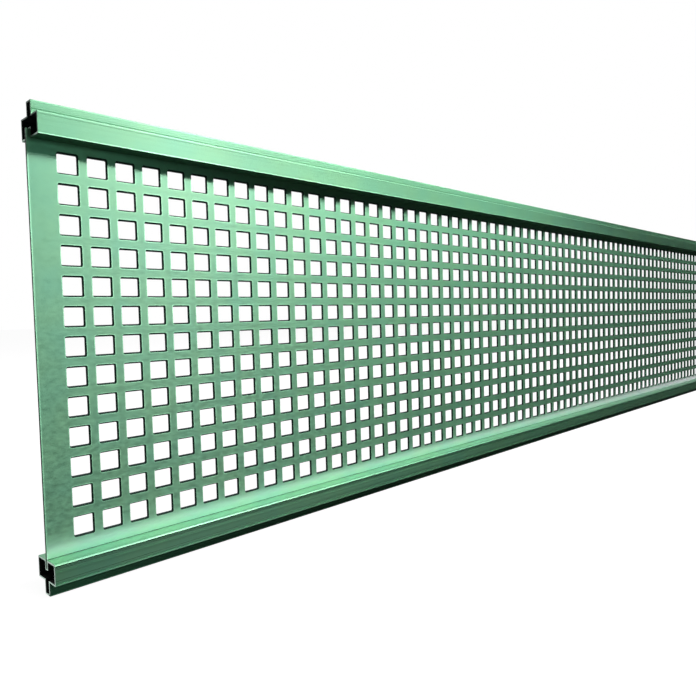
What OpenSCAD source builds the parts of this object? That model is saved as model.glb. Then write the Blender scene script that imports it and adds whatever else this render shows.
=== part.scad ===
// Perforated metal privacy screen panel.
// A flat sheet punched with square holes stands between two hollow extruded rails. Each rail has a
// slot that takes the sheet's long edge and a tongue for the groove of the board above or below it.
// X runs along the panel, Y through it and Z up. The origin is under the middle of the bottom tongue.

/* [Panel] */
// Length of the sheet and of the bottom rail
panel_length = 1778; // [600:1:2400]
// Height of the sheet between its long edges
sheet_height = 211; // [90:1:600]

/* [Perforated sheet] */
// Thickness of the sheet
sheet_thickness = 1.5; // [1:0.1:3]
// Side of each square hole
hole_side = 10; // [6:0.5:13]
// Distance from one hole's centre to the next
hole_pitch = 15; // [14:0.5:30]
// Least plain strip beside the first and last columns
end_margin = 14; // [5:0.5:40]
// Plain strip under the lowest row
bottom_margin = 12; // [7:0.5:40]
// Least plain strip over the top row
top_margin = 9; // [7:0.5:40]

/* [Rails] */
// Width of the rail's box through the panel
box_width = 20.5; // [14:0.5:40]
// Height of the rail's box
box_height = 10.7; // [8:0.1:30]
// Width of the tongue
tongue_width = 5.6; // [4:0.1:10]
// Height of the tongue beyond its box
tongue_height = 6.8; // [3:0.1:15]
// Wall of the box and of the tongue
rail_wall = 0.9; // [0.8:0.1:1.8]
// Outer corner radius of the rail
corner_radius = 0.3; // [0.2:0.1:1]

/* [Sheet slot] */
// Depth of the slot in each rail
slot_depth = 4.4; // [2:0.1:5.5]
// Wall on each side of the slot and under it
slot_wall = 0.7; // [0.6:0.1:1.5]
// Clearance between the slot and each face of the sheet
sheet_clearance = 0.1; // [0.05:0.05:0.3]
// Gap between the sheet's edge and the floor of the slot
edge_gap = 0.2; // [0:0.1:0.5]
// Length by which the top rail stops short at each end
top_rail_setback = 2; // [0:0.5:10]

/* [Hidden] */

rail_height = tongue_height + box_height;
slot_width = sheet_thickness + 2 * sheet_clearance;
sheet_bottom = rail_height - slot_depth + edge_gap;
panel_height = sheet_height + 2 * sheet_bottom;
inner_radius = corner_radius / 2;

// Holes: the columns are centred on the panel, and the rows are counted up from the bottom margin.
columns = floor((panel_length - 2 * end_margin - hole_side) / hole_pitch + 0.001) + 1;
rows = floor((sheet_height - bottom_margin - top_margin - hole_side) / hole_pitch + 0.001) + 1;
first_column = -(columns - 1) / 2 * hole_pitch;
first_row = sheet_bottom + bottom_margin + hole_side / 2;

// The sheet is drawn in equal runs of columns that meet halfway between two columns.
SHEET_RUNS = 4;
function run_start(k) = round(k * columns / SHEET_RUNS);
function run_edge(k) =
    k == 0 ? -panel_length / 2 :
    k == SHEET_RUNS ? panel_length / 2 :
    first_column + (run_start(k) - 0.5) * hole_pitch;

// Rectangle with round corners that stands on the X axis, centred on the Y axis.
module rounded_rect(width, height, radius) {
    translate([-width / 2, radius]) square([width, height - 2 * radius]);
    translate([radius - width / 2, 0]) square([width - 2 * radius, height]);
    for (x = [radius - width / 2, width / 2 - radius], y = [radius, height - radius])
        translate([x, y]) circle(r = radius, $fn = 32);
}

// Section through a rail, tongue down and slot up.
module rail_section() {
    difference() {
        union() {
            difference() {
                union() {
                    rounded_rect(tongue_width, tongue_height + rail_wall, corner_radius);
                    translate([0, tongue_height]) rounded_rect(box_width, box_height, corner_radius);
                }
                // the box's chamber, and the hollow of the tongue that opens into it
                translate([0, tongue_height + rail_wall])
                    rounded_rect(box_width - 2 * rail_wall, box_height - 2 * rail_wall, inner_radius);
                translate([0, rail_wall])
                    rounded_rect(tongue_width - 2 * rail_wall, tongue_height + rail_wall, inner_radius);
            }
            // the walls of the slot hang into the chamber
            translate([-slot_width / 2 - slot_wall, rail_height - slot_depth - slot_wall])
                square([slot_width + 2 * slot_wall, slot_depth + slot_wall]);
        }
        translate([-slot_width / 2, rail_height - slot_depth]) square([slot_width, slot_depth + 1]);
    }
}

module rail(length) {
    rotate([90, 0, 90]) linear_extrude(height = length, center = true) rail_section();
}

module bottom_rail() {
    color("seagreen") rail(panel_length);
}

module top_rail() {
    color("mediumseagreen")
        translate([0, 0, panel_height]) mirror([0, 0, 1]) rail(panel_length - 2 * top_rail_setback);
}

// One run of the sheet, punched with its share of the columns.
module sheet_run(k) {
    color("darkseagreen")
        rotate([90, 0, 0]) linear_extrude(height = sheet_thickness, center = true)
            difference() {
                translate([run_edge(k), sheet_bottom])
                    square([run_edge(k + 1) - run_edge(k), sheet_height]);
                for (i = [run_start(k) : run_start(k + 1) - 1])
                    for (j = [0 : rows - 1])
                        translate([first_column + i * hole_pitch, first_row + j * hole_pitch])
                            square(hole_side, center = true);
            }
}

bottom_rail();
sheet_run(0);  // sheet_left
sheet_run(1);  // sheet_centre_left
sheet_run(2);  // sheet_centre_right
sheet_run(3);  // sheet_right
top_rail();
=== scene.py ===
"""Perforated metal privacy screen panel: its punched sheet, its two extruded rails and the studio."""

import math

import bpy
from bpy.props import FloatProperty, FloatVectorProperty, PointerProperty
from bpy.types import Operator, Panel, PropertyGroup
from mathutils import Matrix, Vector
from mathutils.geometry import tessellate_polygon


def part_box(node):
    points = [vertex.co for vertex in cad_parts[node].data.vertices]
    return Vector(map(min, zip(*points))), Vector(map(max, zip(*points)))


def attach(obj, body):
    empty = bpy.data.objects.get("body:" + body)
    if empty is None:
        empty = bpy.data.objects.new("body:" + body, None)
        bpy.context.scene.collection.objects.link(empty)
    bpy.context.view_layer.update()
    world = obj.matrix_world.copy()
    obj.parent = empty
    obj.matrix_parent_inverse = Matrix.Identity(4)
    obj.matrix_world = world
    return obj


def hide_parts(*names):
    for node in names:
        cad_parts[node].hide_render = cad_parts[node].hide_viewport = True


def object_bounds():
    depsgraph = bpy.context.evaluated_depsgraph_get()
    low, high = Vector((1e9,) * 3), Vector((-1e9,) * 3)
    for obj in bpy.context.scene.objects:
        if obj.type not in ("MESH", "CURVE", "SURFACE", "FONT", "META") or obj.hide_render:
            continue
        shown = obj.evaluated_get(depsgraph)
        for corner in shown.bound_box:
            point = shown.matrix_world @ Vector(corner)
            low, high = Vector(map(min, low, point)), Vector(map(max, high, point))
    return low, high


bl_info = {
    "name": "Perforated Privacy Screen Panel",
    "version": (1, 0, 0),
    "blender": (4, 5, 0),
    "location": "3D View > Sidebar > Screen Panel",
    "description": "Builds the finished look of a punched metal screen panel around its frame",
    "category": "Add Mesh",
}

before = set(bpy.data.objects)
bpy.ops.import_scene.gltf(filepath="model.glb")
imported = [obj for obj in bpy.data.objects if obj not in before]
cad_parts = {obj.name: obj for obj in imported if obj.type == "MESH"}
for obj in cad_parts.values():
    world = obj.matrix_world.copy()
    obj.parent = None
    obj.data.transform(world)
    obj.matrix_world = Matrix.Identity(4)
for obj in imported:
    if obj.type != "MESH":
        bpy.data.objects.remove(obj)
CAD_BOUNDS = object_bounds()
MM = 0.001
CLOSE = 0.001 * MM  # places nearer to each other than this are one place
BODY = "root"
SHEET_NODES = ("sheet_left", "sheet_centre_left", "sheet_centre_right", "sheet_right")
UV_NAME = "Lengthwise"
UV_PATCH = 5.0  # how far apart the faces that look different ways lie in the UV map
FACES_FRONT = 0.9  # least part of its normal along Y of a face that looks to the front or the back

# The material numbers of the sheet's faces, and of a rail's
# the sheet's hole walls, cut edges and seam line, and a rail's chamber, dark sawn ends and deep die lines take
# materials painted dark as painted shade
FACE, HOLE_WALL_SHADE, EDGE_SHADE = range(3)
OUTSIDE, CHAMBER_SHADE, SAWN, PAINTED_SHADE = range(4)

# Die lines of each rail's front: height from the tongue's edge, width and depth, in millimetres
BOTTOM_DIE_LINES = (
    (16.35, 0.5, 0.45), (15.65, 0.25, 0.25), (15.05, 0.2, 0.25), (13.7, 0.2, 0.15),
    (9.4, 0.2, 0.22), (8.0, 0.3, 0.12), (3.4, 0.6, 0.03),
)
TOP_DIE_LINES = ((8.2, 0.6, 0.04), (4.15, 0.45, 0.12))
# Where across its width, from its middle upwards, a die line is deepest
BOTTOM_DIE_LEAN, TOP_DIE_LEAN = -0.46, 0.42
SHADE_DEPTH = 0.1 * MM  # a die line whose sides are this deep in their middle is painted dark: painted shade in the groove

# Steps of a quarter circle, and of a rail's length
ARC_STEPS = 6
LENGTH_STEPS = 24
INNER_RADIUS = 0.15 * MM  # radius of a rail's inward corners


# ---------------------------------------------------------------- properties


class PunchedSheetProps(PropertyGroup):
    """Sizes and finish of the punched sheet."""

    hole_side: FloatProperty(
        name="Hole Side", description="Side of each square hole", default=10 * MM, unit="LENGTH"
    )
    hole_pitch: FloatProperty(
        name="Hole Pitch", description="Distance from one hole's centre to the next",
        default=15 * MM, unit="LENGTH",
    )
    hole_corner: FloatProperty(
        name="Hole Corner", description="Radius left by the punch in each corner",
        default=0.5 * MM, unit="LENGTH",
    )
    end_margin: FloatProperty(
        name="End Margin", description="Least plain strip beside the first and last columns",
        default=14 * MM, unit="LENGTH",
    )
    bottom_margin: FloatProperty(
        name="Bottom Margin", description="Plain strip under the lowest row", default=12 * MM, unit="LENGTH"
    )
    top_margin: FloatProperty(
        name="Top Margin", description="Least plain strip over the top row", default=9 * MM, unit="LENGTH"
    )
    punch_rim: FloatProperty(
        name="Punch Rim", description="Width of the bright rim that the punch leaves round a hole",
        default=0.4 * MM, unit="LENGTH",
    )
    # the dark of the hole wall is painted shade
    punch_roll: FloatProperty(
        name="Punch Roll", description="How far the dark wall of a hole opens out where the punch enters",
        default=0.33 * MM, unit="LENGTH",
    )
    punch_taper: FloatProperty(
        name="Punch Taper", description="How far the floor and roof of a hole lean in at the back",
        default=0.5 * MM, unit="LENGTH",
    )
    punch_side_taper: FloatProperty(
        name="Punch Side Taper", description="How far the sides of a hole lean in at the back",
        default=0.2 * MM, unit="LENGTH",
    )
    punch_break: FloatProperty(
        name="Punch Break", description="Soft edge where the punch leaves", default=0.1 * MM, unit="LENGTH"
    )
    burnish: FloatProperty(
        name="Burnish", description="Width of the bright line along each end of the sheet",
        default=0.8 * MM, unit="LENGTH",
    )
    # the dark line here is painted shade where the sheet leaves the lower rail
    seam: FloatProperty(
        name="Seam", description="Height of the dark line where the sheet leaves the lower rail",
        default=0.28 * MM, unit="LENGTH",
    )
    edge_break: FloatProperty(
        name="Edge Break", description="Soft edge all round the sheet", default=0.12 * MM, unit="LENGTH"
    )
    colour: FloatVectorProperty(
        name="Sheet Colour", description="Anodised face of the sheet",
        subtype="COLOR", default=(0.195, 0.50, 0.29),
    )
    # the nearly black colour of the hole walls is painted shade
    hole_wall_shade_colour: FloatVectorProperty(
        name="Hole Wall Shade Colour", description="Walls of the holes",
        subtype="COLOR", default=(0.008, 0.03, 0.02),
    )
    # the cut edges and the seam line are painted dark: painted shade
    edge_shade_colour: FloatVectorProperty(
        name="Edge Shade Colour", description="Cut edges of the sheet",
        subtype="COLOR", default=(0.02, 0.07, 0.045),
    )
    roughness: FloatProperty(
        name="Roughness", description="Dullness of the rolled face",
        default=0.43, min=0, max=1, subtype="FACTOR",
    )


class RailProps(PropertyGroup):
    """Sizes and finish of the two extruded rails."""

    tongue_width: FloatProperty(
        name="Tongue Width", description="Width of the tongue through the panel",
        default=5.6 * MM, unit="LENGTH",
    )
    tongue_height: FloatProperty(
        name="Tongue Height", description="Height of the tongue beyond its box", default=6.8 * MM, unit="LENGTH"
    )
    wall: FloatProperty(
        name="Wall", description="Wall of the box and of the tongue", default=0.9 * MM, unit="LENGTH"
    )
    corner: FloatProperty(
        name="Corner", description="Outer corner radius", default=0.3 * MM, unit="LENGTH"
    )
    slot_width: FloatProperty(
        name="Slot Width", description="Width of the slot that holds the sheet", default=1.7 * MM, unit="LENGTH"
    )
    slot_depth: FloatProperty(
        name="Slot Depth", description="Depth of the slot that holds the sheet", default=4.4 * MM, unit="LENGTH"
    )
    slot_wall: FloatProperty(
        name="Slot Wall", description="Wall on each side of the slot", default=0.7 * MM, unit="LENGTH"
    )
    saw_break: FloatProperty(
        name="Saw Break", description="Soft edge round each sawn end", default=0.08 * MM, unit="LENGTH"
    )
    burnish: FloatProperty(
        name="Burnish", description="Width of the bright line along each front corner",
        default=0.4 * MM, unit="LENGTH",
    )
    ledge_burnish: FloatProperty(
        name="Ledge Burnish", description="Width of the bright line along the lower ledge",
        default=0.55 * MM, unit="LENGTH",
    )
    burnish_tilt: FloatProperty(
        name="Ledge Burnish Tilt", description="How far the surface tips up along the lower ledge",
        default=math.radians(28), subtype="ANGLE",
    )
    lower_tilt: FloatProperty(
        name="Lower Burnish Tilt", description="How far the surface tips up along a lower corner",
        default=math.radians(11), subtype="ANGLE",
    )
    shoulder_tilt: FloatProperty(
        name="Shoulder Burnish Tilt", description="How far the surface tips up beside the upper tongue",
        default=math.radians(5), subtype="ANGLE",
    )
    colour: FloatVectorProperty(
        name="Rail Colour", description="Anodised outside of the rails",
        subtype="COLOR", default=(0.158, 0.43, 0.24),
    )
    # the near black of the chamber is painted shade inside the hollow rail
    chamber_shade_colour: FloatVectorProperty(
        name="Chamber Shade Colour", description="Inside of the rails", subtype="COLOR", default=(0.004, 0.008, 0.006)
    )
    sawn_colour: FloatVectorProperty(
        name="Sawn Colour", description="Sawn ends of the rails", subtype="COLOR", default=(0.50, 0.68, 0.58)
    )
    # this dark colour is painted shade on the sawn ends and in the deep die lines
    painted_shade_colour: FloatVectorProperty(
        name="Painted Shade Colour", description="Painted shade on sawn ends and in the deep die lines",
        subtype="COLOR", default=(0.03, 0.09, 0.055),
    )
    roughness: FloatProperty(
        name="Roughness", description="Dullness of the extruded face",
        default=0.39, min=0, max=1, subtype="FACTOR",
    )


class StudioProps(PropertyGroup):
    """Camera, floor and lamps."""

    lens: FloatProperty(name="Lens", description="Focal length in millimetres", default=33.196, unit="CAMERA")
    location: FloatVectorProperty(
        name="Camera Place", description="Where the camera stands",
        default=(-1.00368, -0.32129, 0.13109), subtype="TRANSLATION", unit="LENGTH",
    )
    turn: FloatVectorProperty(
        name="Camera Turn", description="Which way the camera looks",
        default=[math.radians(angle) for angle in (87.303, 1.529, -45.662)], subtype="EULER", unit="ROTATION",
    )
    key_level: FloatProperty(
        name="Key Lamp", description="Brightness of the small lamp in front", default=216.0
    )
    strip_level: FloatProperty(
        name="Strip Lamp", description="Brightness of the long strip lamp in front", default=53.0
    )
    high_level: FloatProperty(
        name="High Softbox", description="Brightness of the softbox high at the right", default=18.6
    )
    left_level: FloatProperty(
        name="Left Softbox", description="Brightness of the softbox high at the left", default=11.0
    )
    far_level: FloatProperty(
        name="Far Softbox", description="Brightness of the softbox far to the right", default=6.2
    )
    low_level: FloatProperty(
        name="Low Softbox", description="Brightness of the softbox near the floor", default=0.85
    )
    top_level: FloatProperty(
        name="Top Softbox", description="Brightness of the softbox above the panel", default=6.0
    )
    ledge_level: FloatProperty(
        name="Ledge Strip", description="Brightness of the thin lamp along the lower ledge", default=3.8
    )
    world_level: FloatProperty(name="World Level", description="Strength of the even light", default=0.2)


# ---------------------------------------------------------------- materials


def add_node(tree, kind, values=None, **settings):
    """A node of that kind, with its settings and its inputs' values."""
    made = tree.nodes.new(kind)
    for name, value in settings.items():
        setattr(made, name, value)
    for name, value in (values or {}).items():
        made.inputs[name].default_value = value
    return made


def rgba(colour):
    return (*colour, 1.0)


def lighter(colour, factor, warmth):
    """The colour made lighter or darker, and warmer or, below 0, cooler."""
    shifts = (factor + warmth, factor, factor - warmth)
    return tuple(min(1.0, c * shift) for c, shift in zip(colour, shifts))


CLOUD_SCALE = 38.0  # clouds of lighter and darker metal in a metre
DULLNESS_SPREAD = 0.14  # how much duller or glossier the streaks are
COAT_ROUGHNESS = 0.3


def metal_material(
    name, colour, roughness, stretch, streak, metallic=0.75, anisotropy=0.0,
    bump=0.0, mottle=0.06, warmth=0.0, coat=0.0, gloss=0.5,
):
    """Metal whose colour, dullness and surface vary in fine streaks, as the rolling or the die left them.
    Stretch is how many streaks there are in a metre each way, streak how much lighter or darker they are,
    bump their height, mottle and warmth how much the clouds shift the colour."""
    made = bpy.data.materials.new(name)
    made.use_nodes = True
    tree = made.node_tree
    tree.nodes.clear()
    out = add_node(tree, "ShaderNodeOutputMaterial")
    shader = add_node(tree, "ShaderNodeBsdfPrincipled", {"Metallic": metallic, "Specular IOR Level": gloss})
    tree.links.new(shader.outputs["BSDF"], out.inputs["Surface"])
    place = add_node(tree, "ShaderNodeTexCoord")
    fine = add_node(tree, "ShaderNodeMapping", {"Scale": stretch})
    tree.links.new(place.outputs["Object"], fine.inputs["Vector"])
    streaks = add_node(tree, "ShaderNodeTexNoise", {"Scale": 1.0, "Detail": 4.0, "Roughness": 0.6})
    tree.links.new(fine.outputs["Vector"], streaks.inputs["Vector"])
    clouds = add_node(tree, "ShaderNodeTexNoise", {"Scale": CLOUD_SCALE, "Detail": 5.0, "Roughness": 0.55})
    tree.links.new(place.outputs["Object"], clouds.inputs["Vector"])
    # colour: slow clouds of lighter and darker metal, with the streaks over them
    cloudy = add_node(tree, "ShaderNodeMix", data_type="RGBA")
    set_colour_inputs(cloudy, lighter(colour, 1 - mottle, -warmth), lighter(colour, 1 + mottle, warmth))
    tree.links.new(clouds.outputs["Fac"], cloudy.inputs["Factor"])
    streaky = add_node(tree, "ShaderNodeMix", data_type="RGBA", blend_type="MULTIPLY")
    streaky.inputs["Factor"].default_value = 1.0
    tone = add_node(tree, "ShaderNodeMapRange", {"To Min": 1 - streak, "To Max": 1 + streak})
    tree.links.new(streaks.outputs["Fac"], tone.inputs["Value"])
    tree.links.new(colour_output(cloudy), colour_input(streaky, "A"))
    tree.links.new(tone.outputs["Result"], colour_input(streaky, "B"))
    tree.links.new(colour_output(streaky), shader.inputs["Base Color"])
    dull = add_node(tree, "ShaderNodeMapRange", {
        "From Min": 0.3, "From Max": 0.7,
        "To Min": roughness * (1 - DULLNESS_SPREAD), "To Max": roughness * (1 + DULLNESS_SPREAD),
    })
    tree.links.new(streaks.outputs["Fac"], dull.inputs["Value"])
    tree.links.new(dull.outputs["Result"], shader.inputs["Roughness"])
    if bump:
        raised = add_node(tree, "ShaderNodeBump", {"Strength": 0.5, "Distance": bump})
        tree.links.new(streaks.outputs["Fac"], raised.inputs["Height"])
        tree.links.new(raised.outputs["Normal"], shader.inputs["Normal"])
    if anisotropy:
        # the quarter turn draws the gloss out across the streaks
        shader.inputs["Anisotropic"].default_value = anisotropy
        shader.inputs["Anisotropic Rotation"].default_value = 0.25
        along = add_node(tree, "ShaderNodeTangent", direction_type="UV_MAP", uv_map=UV_NAME)
        tree.links.new(along.outputs["Tangent"], shader.inputs["Tangent"])
    if coat:
        shader.inputs["Coat Weight"].default_value = coat
        shader.inputs["Coat Roughness"].default_value = COAT_ROUGHNESS
    return made


def colour_input(mix, name):
    return next(s for s in mix.inputs if s.name == name and s.type == "RGBA")


def colour_output(mix):
    return next(s for s in mix.outputs if s.type == "RGBA")


def set_colour_inputs(mix, a, b):
    colour_input(mix, "A").default_value = rgba(a)
    colour_input(mix, "B").default_value = rgba(b)


# ---------------------------------------------------------------- meshes


def flat_uv(place, normal):
    """Where a point lies on its face laid flat, with U along the panel wherever the face runs that way.
    Each way of facing has a patch of its own, so that no tangent is shared round an edge."""
    x, y, z = place
    if abs(normal.y) > FACES_FRONT:
        return (x, z)
    if abs(normal.z) >= abs(normal.x):
        return (x, y + UV_PATCH)
    return (z, y + 2 * UV_PATCH)


def link_object(name, data):
    made = bpy.data.objects.new(name, data)
    bpy.context.scene.collection.objects.link(made)
    return made


def smooth_mesh(name, places, faces, slots, materials):
    """A mesh whose faces have their materials, and its UV map, still empty."""
    mesh = bpy.data.meshes.new(name)
    mesh.from_pydata(places, [], faces)
    mesh.polygons.foreach_set("material_index", slots)
    mesh.polygons.foreach_set("use_smooth", [True] * len(faces))
    for material in materials:
        mesh.materials.append(material)
    return mesh, mesh.uv_layers.new(name=UV_NAME)


class MeshParts:
    """Vertices with their normals, and faces with their material number."""

    def __init__(self):
        self.places, self.normals, self.faces, self.slots = [], [], [], []

    def vertex(self, place, normal):
        self.places.append(place)
        self.normals.append(normal)
        return len(self.places) - 1

    def face(self, corners, slot):
        self.faces.append(corners)
        self.slots.append(slot)

    def strip(self, first, second, slot):
        """Faces between two closed rings of as many vertices."""
        count = len(first)
        for k in range(count):
            n = (k + 1) % count
            self.face((first[k], first[n], second[n], second[k]), slot)

    def build(self, name, materials):
        mesh, uv_map = smooth_mesh(name, self.places, self.faces, self.slots, materials)
        for face in mesh.polygons:
            for k in face.loop_indices:
                uv_map.uv[k].vector = flat_uv(self.places[mesh.loops[k].vertex_index], face.normal)
        mesh.validate()
        mesh.normals_split_custom_set_from_vertices(self.normals)
        return link_object(name, mesh)


# ---------------------------------------------------------------- punched sheet


FRONT, BACK = (0.0, -1.0, 0.0), (0.0, 1.0, 0.0)
RIM_TIP = math.radians(14)
TIPPED_UP = (0.0, -math.cos(RIM_TIP), math.sin(RIM_TIP))
ARC_ANGLES = (0, 45, 90)
# this row of faces is painted dark as the painted shade where the sheet leaves the rail
SEAM_SHADE_ROW = 1  # the row of faces just over the lower rail
SLACK = 0.001  # part of a pitch that a whole number of pitches may lack


def hole_ring(parts, centre, half, corner, radius, y, normal=None):
    """Twelve vertices round a square hole with round corners, anticlockwise seen from the front. Half is how
    far its sides are from the centre, and the ring stands off them by what the radius is over the corner."""
    ring = []
    for quarter, (sx, sz) in enumerate(((1, 1), (-1, 1), (-1, -1), (1, -1))):
        for angle in ARC_ANGLES:
            a = math.radians(90 * quarter + angle)
            out = (math.cos(a), math.sin(a))
            x = centre[0] + sx * (half[0] - corner) + radius * out[0]
            z = centre[1] + sz * (half[1] - corner) + radius * out[1]
            ring.append(parts.vertex((x, y, z), normal or (-out[0], 0.0, -out[1])))
    return ring


def cell_faces(parts, corners, ring, slot, flip):
    """Faces between a cell's four corners and the ring of its hole."""
    def add(*face):
        parts.face(face[::-1] if flip else face, slot)

    for quarter in range(4):
        a, b, c = ring[3 * quarter: 3 * quarter + 3]
        corner, after = corners[quarter], corners[(quarter + 1) % 4]
        add(corner, b, a)
        add(corner, c, b)
        add(corner, after, ring[(3 * quarter + 3) % len(ring)], c)


def punched_cell(parts, ahead, behind, centre, y_front, y_back, props):
    """The sheet round one hole: a rim tipped up at the front, and walls that lean in towards the back, painted
    nearly black as painted shade.
    """
    side, corner = props.hole_side, props.hole_corner
    roll, rim_width, back_break = props.punch_roll, props.punch_rim, props.punch_break
    half = (side / 2, side / 2)
    leant = (side / 2 - props.punch_side_taper, side / 2 - props.punch_taper)
    rings = [
        hole_ring(parts, centre, half, corner, corner + roll + rim_width, y_front, FRONT),
        hole_ring(parts, centre, half, corner, corner + roll + rim_width / 2, y_front, TIPPED_UP),
        hole_ring(parts, centre, half, corner, corner + roll, y_front, FRONT),
        hole_ring(parts, centre, leant, corner, corner, y_back - back_break),
        hole_ring(parts, centre, leant, corner, corner + back_break, y_back, BACK),
    ]
    cell_faces(parts, ahead, rings[0], FACE, False)
    cell_faces(parts, behind, rings[-1], FACE, True)
    # the walls of the hole take the material painted dark as painted shade
    for k, slot in enumerate((FACE, FACE, HOLE_WALL_SHADE, FACE)):
        parts.strip(rings[k], rings[k + 1], slot)


def sheet_grid(low, high, foot, props):
    """The lines between the columns and between the rows of faces, and the columns and rows that hold holes.
    The foot is the height at which the sheet leaves the lower rail."""
    side, pitch = props.hole_side, props.hole_pitch
    columns = math.floor((high.x - low.x - 2 * props.end_margin - side) / pitch + SLACK) + 1
    rows = math.floor((high.z - low.z - props.bottom_margin - props.top_margin - side) / pitch + SLACK) + 1
    left = (low.x + high.x) / 2 - columns * pitch / 2
    bottom = low.z + props.bottom_margin + (side - pitch) / 2
    rim = props.edge_break
    burnish = rim + props.burnish
    xs = [low.x + rim, low.x + burnish]
    hole_columns = range(len(xs), len(xs) + columns)
    xs += [left + i * pitch for i in range(columns + 1)] + [high.x - burnish, high.x - rim]
    zs = [low.z + rim, foot, foot + props.seam]
    hole_rows = range(len(zs), len(zs) + rows)
    zs += [bottom + j * pitch for j in range(rows + 1)] + [high.z - rim]
    return xs, zs, hole_columns, hole_rows


def sheet_edges(parts, xs, zs, front, back, y_front, y_back, rim):
    """The sheared edges, painted dark as painted shade, from the left of the bottom edge round to it again,
    with a soft edge on each side.
    """
    last_x, last_z = len(xs) - 1, len(zs) - 1
    round_trip = (
        [(i, 0) for i in range(last_x)]
        + [(last_x, j) for j in range(last_z)]
        + [(i, last_z) for i in range(last_x, 0, -1)]
        + [(0, j) for j in range(last_z, 0, -1)]
    )
    rings = [[front[i][j] for i, j in round_trip], [], [], [back[i][j] for i, j in round_trip]]
    for ring, y in ((rings[1], y_front + rim), (rings[2], y_back - rim)):
        for i, j in round_trip:
            ox = (i == last_x) - (i == 0)
            oz = (j == last_z) - (j == 0)
            out = Vector((ox, 0, oz)).normalized()
            ring.append(parts.vertex((xs[i] + ox * rim, y, zs[j] + oz * rim), tuple(out)))
    # the edge faces between the soft edges take the material painted dark as painted shade
    for k, slot in enumerate((FACE, EDGE_SHADE, FACE)):
        parts.strip(rings[k + 1], rings[k], slot)


def build_sheet(props, low, high, foot, materials):
    """The whole sheet, between two corners of its box."""
    parts = MeshParts()
    xs, zs, hole_columns, hole_rows = sheet_grid(low, high, foot, props)
    half_pitch = props.hole_pitch / 2
    ends = (xs[0], xs[-1])
    front = [[parts.vertex((x, low.y, z), TIPPED_UP if x in ends else FRONT) for z in zs] for x in xs]
    back = [[parts.vertex((x, high.y, z), BACK) for z in zs] for x in xs]
    for i in range(len(xs) - 1):
        for j in range(len(zs) - 1):
            order = ((i + 1, j + 1), (i, j + 1), (i, j), (i + 1, j))
            ahead = [front[a][b] for a, b in order]
            behind = [back[a][b] for a, b in order]
            if i in hole_columns and j in hole_rows:
                centre = (xs[i] + half_pitch, zs[j] + half_pitch)
                punched_cell(parts, ahead, behind, centre, low.y, high.y, props)
            else:
                # the row just over the lower rail takes the dark edge material: painted shade
                parts.face(tuple(ahead), EDGE_SHADE if j == SEAM_SHADE_ROW else FACE)
                parts.face(tuple(behind[::-1]), FACE)
    sheet_edges(parts, xs, zs, front, back, low.y, high.y, props.edge_break)
    return parts.build("perforated_sheet", materials)


# ---------------------------------------------------------------- extruded rails


def rounded_outline(corners):
    """Points with their outward normals round a closed outline of (y, z, radius) corners, anticlockwise.
    Each straight run and each arc is a list of (place, normal)."""
    runs, count = [], len(corners)
    arcs = []
    for k in range(count):
        before, here, after = (Vector(corners[(k + d) % count][:2]) for d in (-1, 0, 1))
        radius = corners[k][2]
        came, goes = (here - before).normalized(), (after - here).normalized()
        turn = came.x * goes.y - came.y * goes.x
        n_in, n_out = Vector((came.y, -came.x)), Vector((goes.y, -goes.x))
        if radius <= 0 or abs(turn) < CLOSE:
            arcs.append([(here, n_in), (here, n_out)])
            continue
        sign = 1 if turn > 0 else -1
        centre = here - came * radius - n_in * radius * sign
        arc = []
        for s in range(ARC_STEPS + 1):
            t = s / ARC_STEPS * math.pi / 2
            n = n_in * math.cos(t) + n_out * math.sin(t)
            arc.append((centre + n * radius * sign, n))
        arcs.append(arc)
    for k in range(count):
        runs.append(arcs[k])
        runs.append([arcs[k][-1], arcs[(k + 1) % count][0]])
    return runs


def with_grooves(runs, y_face, grooves, lines, lean):
    """Cuts V grooves, each a height, a width and a depth, into the straight runs that lie on y_face, and tips
    the surface of a line along each end of them, as a worn or drawn corner is. Lines has the width and the
    tilt of the line at the lower end, then those at the upper end. Lean is where a groove is deepest, from
    its middle upwards, as a part of its width."""
    result = []
    for run in runs:
        straight = len(run) == 2 and (run[0][0] - run[1][0]).length > CLOSE
        on_face = straight and all(abs(p.x - y_face) < CLOSE for p, _ in run)
        if not on_face:
            result.append(run)
            continue
        (start, n), (end, _) = run
        heading = 1 if end.y > start.y else -1
        first, final = lines if heading > 0 else lines[::-1]
        here = start + Vector((0, heading * first[0]))
        last = end - Vector((0, heading * final[0]))
        tipped = [Vector((n.x * math.cos(tilt), math.sin(tilt))) for _, tilt in (first, final)]
        result.append([(start, tipped[0]), (here, tipped[0])])
        inner = [g for g in grooves if min(here.y, last.y) + g[1] / 2 < g[0] < max(here.y, last.y) - g[1] / 2]
        for z, width, depth in sorted(inner, reverse=heading < 0):
            a = Vector((y_face, z - heading * width / 2))
            b = Vector((y_face - n.x * depth, z + lean * width))
            c = Vector((y_face, z + heading * width / 2))
            result.append([(here, n), (a, n)])
            for p, q in ((a, b), (b, c)):
                way = (q - p).normalized()
                slope = Vector((way.y, -way.x))
                result.append([(p, slope), (q, slope)])
            here = c
        result.append([(here, n), (last, n)])
        result.append([(last, tipped[1]), (end, tipped[1])])
    return result


def mirrored(half):
    """A closed outline from its half at y > 0, which runs upwards."""
    return half + [(-y, z, r) for y, z, r in reversed(half)]


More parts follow.
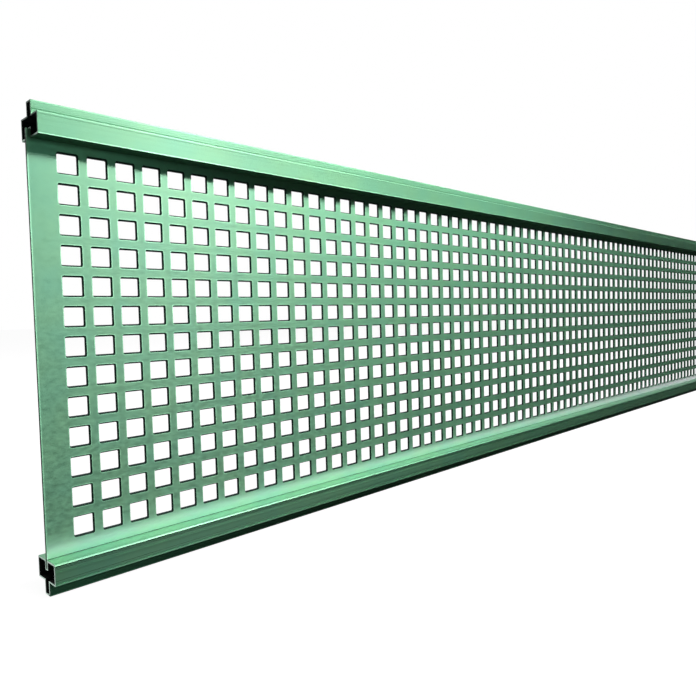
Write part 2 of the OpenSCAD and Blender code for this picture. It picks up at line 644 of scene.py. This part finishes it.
def rail_outlines(props, width, height):
    """The rail's outer outline and its chamber, tongue down, around y = 0 and up from z = 0."""
    tongue, wall, radius = props.tongue_width / 2, props.wall, props.corner
    shoulder, box = props.tongue_height, width / 2
    slot, floor = props.slot_width / 2, height - props.slot_depth
    outer = mirrored([
        (tongue, 0, radius), (tongue, shoulder, INNER_RADIUS), (box, shoulder, radius), (box, height, radius),
        (slot, height, INNER_RADIUS), (slot, floor, INNER_RADIUS),
    ])
    hanging = slot + props.slot_wall
    chamber = mirrored([
        (tongue - wall, wall, radius / 2), (tongue - wall, shoulder + wall, INNER_RADIUS),
        (box - wall, shoulder + wall, radius / 2), (box - wall, height - wall, radius / 2),
        (hanging, height - wall, INNER_RADIUS), (hanging, floor - props.slot_wall, INNER_RADIUS),
    ])
    return outer, chamber


def joined(runs):
    """The points of a closed outline, each once, its spans, and the mean normal at each point. A span has the
    numbers of its two points and the normal at each of them."""
    points, spans = [], []
    for run in runs:
        for (p, n), (q, m) in zip(run, run[1:]):
            if (p - q).length < CLOSE:
                continue
            if not points:
                points.append(p)
            spans.append((len(points) - 1, len(points), n, m))
            points.append(q)
    closing = points.pop()
    if (closing - points[0]).length > CLOSE:
        raise RuntimeError("an outline of a rail doesn't close")
    count = len(points)
    spans = [(a, b % count, n, m) for a, b, n, m in spans]
    totals = [Vector((0, 0))] * count
    for a, b, n, m in spans:
        totals[a] = totals[a] + n
        totals[b] = totals[b] + m
    return points, spans, [total.normalized() for total in totals]


class RailMesh:
    """A rail between its two sawn ends. Its outline is drawn tongue down, and a rail may be upside down."""

    def __init__(self, props, low, high, upside_down):
        self.props, self.low, self.high, self.upside_down = props, low, high, upside_down
        self.width, self.height = high.y - low.y, high.z - low.z
        # where the outline is repeated, and how far it is drawn in there, which it is at both sawn ends
        cut = props.saw_break
        inner = high.x - low.x - 2 * cut
        self.stations = [(low.x, cut)]
        self.stations += [(low.x + cut + inner * k / LENGTH_STEPS, 0.0) for k in range(LENGTH_STEPS + 1)]
        self.stations += [(high.x, cut)]
        self.left_rings, self.right_rings = [], []
        self.places, self.faces, self.slots, self.normals, self.uvs = [], [], [], [], []
        self.girth = 0.0

    def at(self, x, point):
        z = self.high.z - point.y if self.upside_down else self.low.z + point.y
        return (x, point.x, z)

    def turned(self, normal, slope):
        return Vector((slope, normal.x, -normal.y if self.upside_down else normal.y)).normalized()

    def face(self, corners, slot, normals, uvs):
        self.faces.append(corners)
        self.slots.append(slot)
        self.normals.extend(normals)
        self.uvs.extend(uvs)

    def is_deep_line(self, middle):
        """Whether this place, in the middle of a span, is on the side of a deep die line in the box's front."""
        low_edge, high_edge = self.props.tongue_height + self.props.corner, self.height - self.props.corner
        on_front = middle.x < 0 and low_edge < middle.y < high_edge
        return on_front and SHADE_DEPTH < middle.x + self.width / 2 < self.props.wall

    def sweep(self, runs, facing, slot):
        """The faces along one closed outline. Facing is 1 for the outside of the rail and -1 for its inside."""
        points, spans, mean_normals = joined(runs)
        rows = []
        for x, inset in self.stations:
            first = len(self.places)
            self.places += [self.at(x, p - n * facing * inset) for p, n in zip(points, mean_normals)]
            rows.append(range(first, len(self.places)))
        last = len(self.stations) - 2
        for a, b, n, m in spans:
            start, end = self.girth, self.girth + (points[b] - points[a]).length
            # the sides of deep die lines are painted dark: painted shade in the groove
            shade_painted = facing > 0 and self.is_deep_line((points[a] + points[b]) / 2)
            for s in range(last + 1):
                slope = -1.0 if s == 0 else 1.0 if s == last else 0.0
                # each length has a strip of the UV map to itself
                here, after = self.stations[s][0] + s * MM, self.stations[s + 1][0] + s * MM
                corners = [rows[s][a], rows[s + 1][a], rows[s + 1][b], rows[s][b]]
                uvs = [(here, start), (after, start), (after, end), (here, end)]
                normals = [self.turned(v * facing, slope) for v in (n, n, m, m)]
                if (facing > 0) != self.upside_down:
                    for each in (corners, uvs, normals):
                        each.reverse()
                self.face(corners, PAINTED_SHADE if shade_painted else slot, normals, uvs)
            self.girth = end
        self.left_rings.append(rows[0])
        self.right_rings.append(rows[-1])

    def in_painted_shade(self, place):
        """Whether the sawn end is painted dark here, as painted shade. It is on the rear walls of the lower
        rail, and everywhere on the upper rail but in the wall beside the slot."""
        wall = self.props.wall
        if self.upside_down:
            return self.high.z - place.z < self.height - wall
        in_tongue = place.z - self.low.z < self.props.tongue_height
        rear = self.props.tongue_width / 2 if in_tongue else self.width / 2
        return place.y > rear - wall

    def close_end(self, rings, way):
        """The sawn metal between the outside and the chamber. Way is -1 at the left end and 1 at the right."""
        index = [i for ring in rings for i in ring]
        flat = [[Vector(self.places[i]).yz.to_3d() for i in ring] for ring in rings]
        for triangle in tessellate_polygon(flat):
            corners = [index[t] for t in triangle]
            a, b, c = (Vector(self.places[i]) for i in corners)
            if (b - a).cross(c - a).x * way < 0:
                corners.reverse()
            # the dark sawn ends are painted shade
            slot = PAINTED_SHADE if self.in_painted_shade((a + b + c) / 3) else SAWN
            uvs = [(self.places[i][1] + 2 * UV_PATCH, self.places[i][2]) for i in corners]
            self.face(corners, slot, [Vector((way, 0, 0))] * 3, uvs)

    def build(self, name, materials):
        mesh, uv_map = smooth_mesh(name, self.places, self.faces, self.slots, materials)
        for k, uv in enumerate(self.uvs):
            uv_map.uv[k].vector = uv
        mesh.normals_split_custom_set(self.normals)
        return link_object(name, mesh)


def build_rail(name, props, low, high, upside_down, die_lines, materials):
    """A rail swept along X between its two sawn ends, with the chamber right through it."""
    rail = RailMesh(props, low, high, upside_down)
    outer, chamber = rail_outlines(props, rail.width, rail.height)
    if upside_down:
        lines = ((props.burnish, -props.shoulder_tilt), (props.burnish, -props.lower_tilt))
        lean = TOP_DIE_LEAN
    else:
        lines = ((props.burnish, props.lower_tilt), (props.ledge_burnish, props.burnish_tilt))
        lean = BOTTOM_DIE_LEAN
    skin = rounded_outline(outer)
    for y_face in (-rail.width / 2, -props.tongue_width / 2):
        skin = with_grooves(skin, y_face, die_lines, lines, lean)
    rail.sweep(skin, 1, OUTSIDE)
    # the chamber's faces take the material painted near black as painted shade
    rail.sweep(rounded_outline(chamber), -1, CHAMBER_SHADE)
    rail.close_end(rail.left_rings, -1.0)
    rail.close_end(rail.right_rings, 1.0)
    return rail.build(name, materials)


# ---------------------------------------------------------------- stage


WHITE, FLOOR_GREY, CARD_BLACK = (1.0, 1.0, 1.0), (0.2, 0.2, 0.2), (0.02, 0.02, 0.02)
FLOOR_GLOW = 0.93  # how white the floor is to the eye
FLOOR_REACH, FLOOR_GAP = 30.0, 0.2 * MM  # half the floor's side, and how far it lies under the panel
CARD_GAP = 0.1 * MM  # how far the cards on the floor lie under the panel
PANEL_MIDDLE = (-0.45, 0.0, 0.12)
ROSY, LEAFY = (1.0, 0.745, 0.87), (0.8, 1.0, 0.94)
# Each lamp: its name, its place, what it is turned to, its width and height, its level, and its colour
LAMPS = (
    ("key lamp", (0.38, -1.5, 1.53), PANEL_MIDDLE, (0.2, 0.1), "key_level", ROSY),
    ("strip lamp", (0.45, -1.5, 1.53), (-0.3, 0.0, 0.12), (1.3, 0.1), "strip_level", ROSY),
    ("high softbox", (1.6, -1.5, 1.8), PANEL_MIDDLE, (1.2, 0.4), "high_level", WHITE),
    ("left softbox", (-0.4, -1.5, 1.8), PANEL_MIDDLE, (1.0, 0.4), "left_level", WHITE),
    ("far softbox", (2.8, -1.5, 1.6), PANEL_MIDDLE, (0.8, 0.8), "far_level", LEAFY),
    ("low softbox", (-0.4, -1.5, 0.35), PANEL_MIDDLE, (0.6, 0.5), "low_level", (0.7, 1.0, 0.95)),
    ("top softbox", (-0.3, -0.4, 1.8), (-0.3, 0.0, 0.0), (1.8, 0.3), "top_level", (1.0, 0.7, 0.9)),
)
# The thin lamp along the lower ledge: its place from the ledge's front corner, its turn, height and colour
LEDGE_PLACE, LEDGE_TURN = (0.0, 0.0025, 0.002), (0.0, 0.01, -0.001)
LEDGE_HEIGHT, LEDGE_COLOUR = 0.0024, (1.0, 0.55, 0.87)


def white_rays(tree):
    """1 for a ray that shows the background: straight, in a gloss or through glass."""
    path = add_node(tree, "ShaderNodeLightPath")
    first = add_node(tree, "ShaderNodeMath", operation="MAXIMUM")
    second = add_node(tree, "ShaderNodeMath", operation="MAXIMUM")
    tree.links.new(path.outputs["Is Camera Ray"], first.inputs[0])
    tree.links.new(path.outputs["Is Glossy Ray"], first.inputs[1])
    tree.links.new(first.outputs[0], second.inputs[0])
    tree.links.new(path.outputs["Is Transmission Ray"], second.inputs[1])
    return second.outputs[0]


def split_rays(tree, plain, shown, out):
    """Sends the plain shader to the output, but the shown one for the rays that show the background."""
    mix = add_node(tree, "ShaderNodeMixShader")
    tree.links.new(white_rays(tree), mix.inputs[0])
    tree.links.new(plain.outputs[0], mix.inputs[1])
    tree.links.new(shown.outputs[0], mix.inputs[2])
    tree.links.new(mix.outputs[0], out.inputs["Surface"])


def flat_piece(name, corners, material):
    """One flat face of the studio."""
    mesh = bpy.data.meshes.new(name)
    mesh.from_pydata(corners, [], [tuple(range(len(corners)))])
    mesh.materials.append(material)
    made = link_object(name, mesh)
    return made


def studio_floor(low_z):
    """A wide floor just under the panel, white to the eye and in reflections, with the panel's shadow on it."""
    material = bpy.data.materials.new("white studio floor")
    material.use_nodes = True
    tree = material.node_tree
    tree.nodes.clear()
    out = add_node(tree, "ShaderNodeOutputMaterial")
    paint = add_node(tree, "ShaderNodeBsdfDiffuse", {"Color": rgba(FLOOR_GREY)})
    glow = add_node(tree, "ShaderNodeEmission", {"Color": rgba(WHITE), "Strength": FLOOR_GLOW})
    both = add_node(tree, "ShaderNodeAddShader")
    tree.links.new(paint.outputs[0], both.inputs[0])
    tree.links.new(glow.outputs[0], both.inputs[1])
    split_rays(tree, paint, both, out)
    corners = ((-1, -1), (1, -1), (1, 1), (-1, 1))
    flat_piece("floor", [(x * FLOOR_REACH, y * FLOOR_REACH, low_z - FLOOR_GAP) for x, y in corners], material)


def studio_world(level):
    world = bpy.data.worlds.new("white studio")
    world.use_nodes = True
    tree = world.node_tree
    tree.nodes.clear()
    out = add_node(tree, "ShaderNodeOutputWorld")
    light = add_node(tree, "ShaderNodeBackground", {"Color": rgba(WHITE), "Strength": level})
    white = add_node(tree, "ShaderNodeBackground", {"Color": rgba(WHITE), "Strength": 1.0})
    split_rays(tree, light, white, out)
    bpy.context.scene.world = world


def dark_card_material():
    made = bpy.data.materials.new("dark card")
    made.use_nodes = True
    shader = made.node_tree.nodes["Principled BSDF"]
    shader.inputs["Base Color"].default_value = rgba(CARD_BLACK)
    shader.inputs["Roughness"].default_value = 1.0
    shader.inputs["Specular IOR Level"].default_value = 0.0
    return made


def dark_cards(low_z):
    """Matt dark cards that only the metal's reflections see, which keep the white room out of them."""
    material = dark_card_material()
    near, far, side, tall = -0.03, -4.0, 7.0, 4.0  # in front: their near and far edges, half width and height
    behind, rear = 0.07, 1.5  # the edges of the one on the ground behind the panel
    left, back = -2.5, 3.0  # the place and the far edge of the one at the left
    z = low_z - CARD_GAP
    for name, corners in (
        ("ground_card", [(-side, far, z), (side, far, z), (side, 0.0, z), (-side, 0.0, z)]),
        ("rear_ground_card", [(-side, behind, z), (side, behind, z), (side, rear, z), (-side, rear, z)]),
        ("wall_card", [(-side, far, 0.0), (side, far, 0.0), (side, far, tall), (-side, far, tall)]),
        ("right_card", [(side, near, 0.0), (side, far, 0.0), (side, far, tall), (side, near, tall)]),
        ("ceiling_card", [(-side, far, tall), (side, far, tall), (side, near, tall), (-side, near, tall)]),
        ("left_card", [(left, near, 0.0), (left, back, 0.0), (left, back, tall), (left, near, tall)]),
    ):
        card = flat_piece(name, corners, material)
        card.visible_camera = False
        card.visible_diffuse = False
        card.visible_shadow = False


def softbox(name, place, target, size, level, colour):
    """A rectangular lamp at a place, turned to a target. Level is its brightness, whatever its size."""
    data = bpy.data.lights.new(name, "AREA")
    data.shape = "RECTANGLE"
    data.size, data.size_y = size
    data.energy = level * math.pi * size[0] * size[1]
    data.color = colour
    made = link_object(name, data)
    made.location = place
    made.rotation_euler = (Vector(target) - Vector(place)).to_track_quat("-Z", "Y").to_euler()
    made.visible_camera = False


# ---------------------------------------------------------------- operators


class SCREENPANEL_OT_sheet(Operator):
    """Build the punched sheet in place of the frame's four quarters"""

    bl_idname = "screen_panel.sheet"
    bl_label = "Punched Sheet"

    def execute(self, context):
        props = context.scene.screen_panel_sheet
        boxes = [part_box(node) for node in SHEET_NODES]
        low = Vector([min(box[0][k] for box in boxes) for k in range(3)])
        high = Vector([max(box[1][k] for box in boxes) for k in range(3)])
        face = metal_material(
            "green anodised sheet", props.colour, props.roughness, metallic=0.95, anisotropy=0.7,
            stretch=(260, 260, 520), streak=0.07, bump=0.03 * MM, mottle=0.08, warmth=0.14, coat=0.3,
        )
        # hole walls painted nearly black: painted shade
        punched = metal_material(
            "hole wall painted shade", props.hole_wall_shade_colour, 0.6, metallic=0.0,
            stretch=(900, 900, 900), streak=0.1, gloss=0.12,
        )
        # the cut edges and the seam line of the sheet, painted dark: painted shade
        cut = metal_material(
            "sheet edge painted shade", props.edge_shade_colour, 0.5, metallic=0.1,
            stretch=(1500, 1500, 40), streak=0.1, gloss=0.15,
        )
        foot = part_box("bottom_rail")[1][2]
        sheet = build_sheet(props, low, high, foot, [face, punched, cut])
        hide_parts(*SHEET_NODES)
        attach(sheet, BODY)
        return {"FINISHED"}


class SCREENPANEL_OT_rails(Operator):
    """Build the two extruded rails in place of the frame's rails"""

    bl_idname = "screen_panel.rails"
    bl_label = "Extruded Rails"

    def execute(self, context):
        props = context.scene.screen_panel_rails
        outside = metal_material(
            "green anodised rail", props.colour, props.roughness, metallic=0.95, anisotropy=0.75,
            stretch=(3, 1600, 1600), streak=0.09, bump=0.02 * MM, mottle=0.06, warmth=0.14, coat=0.3,
        )
        # the inside of the rails painted near black: painted shade
        inside = metal_material(
            "rail chamber painted shade", props.chamber_shade_colour, 0.8, metallic=0.3,
            stretch=(3, 900, 900), streak=0.1,
        )
        sawn = metal_material(
            "sawn rail end", props.sawn_colour, 0.35,
            stretch=(900, 60, 1400), streak=0.12, bump=0.02 * MM,
        )
        # painted shade for the dark sawn ends and the deep die lines
        shade_painted = metal_material(
            "rail end and die line painted shade", props.painted_shade_colour, 0.4,
            stretch=(900, 60, 1400), streak=0.15, bump=0.02 * MM,
        )
        for name, node, upside_down, die_lines in (
            ("bottom_rail_extrusion", "bottom_rail", False, BOTTOM_DIE_LINES),
            ("top_rail_extrusion", "top_rail", True, TOP_DIE_LINES),
        ):
            low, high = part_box(node)
            die_lines = [tuple(size * MM for size in line) for line in die_lines]
            rail = build_rail(name, props, low, high, upside_down, die_lines, [outside, inside, sawn, shade_painted])
            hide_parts(node)
            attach(rail, BODY)
        return {"FINISHED"}


class SCREENPANEL_OT_stage(Operator):
    """Set up the floor, the lamps and the camera"""

    bl_idname = "screen_panel.stage"
    bl_label = "Studio"

    def execute(self, context):
        props = context.scene.screen_panel_studio
        scene = context.scene
        scene.view_settings.view_transform = "Standard"
        studio_world(props.world_level)
        low_z = CAD_BOUNDS[0][2]
        studio_floor(low_z)
        dark_cards(low_z)
        for name, place, target, size, level, colour in LAMPS:
            softbox(name, place, target, size, getattr(props, level), colour)
        low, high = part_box("bottom_rail")
        place = Vector([edge + step for edge, step in zip((0.0, low.y, high.z), LEDGE_PLACE)])
        size = (high.x - low.x, LEDGE_HEIGHT)
        softbox("ledge strip", place, place + Vector(LEDGE_TURN), size, props.ledge_level, LEDGE_COLOUR)
        data = bpy.data.cameras.new("camera")
        data.lens = props.lens
        camera = link_object("camera", data)
        camera.location = props.location
        camera.rotation_euler = props.turn
        scene.camera = camera
        return {"FINISHED"}


class SCREENPANEL_PT_panel(Panel):
    """Lists the panel's pieces with their sizes and colours"""

    bl_label = "Perforated Screen Panel"
    bl_idname = "SCREENPANEL_PT_panel"
    bl_space_type = "VIEW_3D"
    bl_region_type = "UI"
    bl_category = "Screen Panel"

    def draw(self, context):
        for operator, name in (
            (SCREENPANEL_OT_sheet, "screen_panel_sheet"),
            (SCREENPANEL_OT_rails, "screen_panel_rails"),
            (SCREENPANEL_OT_stage, "screen_panel_studio"),
        ):
            box = self.layout.box()
            box.operator(operator.bl_idname)
            group = getattr(context.scene, name)
            for key in group.__annotations__:
                box.prop(group, key)


CLASSES = (
    PunchedSheetProps, RailProps, StudioProps,
    SCREENPANEL_OT_sheet, SCREENPANEL_OT_rails, SCREENPANEL_OT_stage, SCREENPANEL_PT_panel,
)
GROUPS = {
    "screen_panel_sheet": PunchedSheetProps,
    "screen_panel_rails": RailProps,
    "screen_panel_studio": StudioProps,
}


def register():
    for cls in CLASSES:
        bpy.utils.register_class(cls)
    for name, group in GROUPS.items():
        setattr(bpy.types.Scene, name, PointerProperty(type=group))


def unregister():
    for name in GROUPS:
        delattr(bpy.types.Scene, name)
    for cls in reversed(CLASSES):
        bpy.utils.unregister_class(cls)


def main():
    register()
    bpy.ops.screen_panel.sheet()
    bpy.ops.screen_panel.rails()
    bpy.ops.screen_panel.stage()


if __name__ == "__main__":
    main()
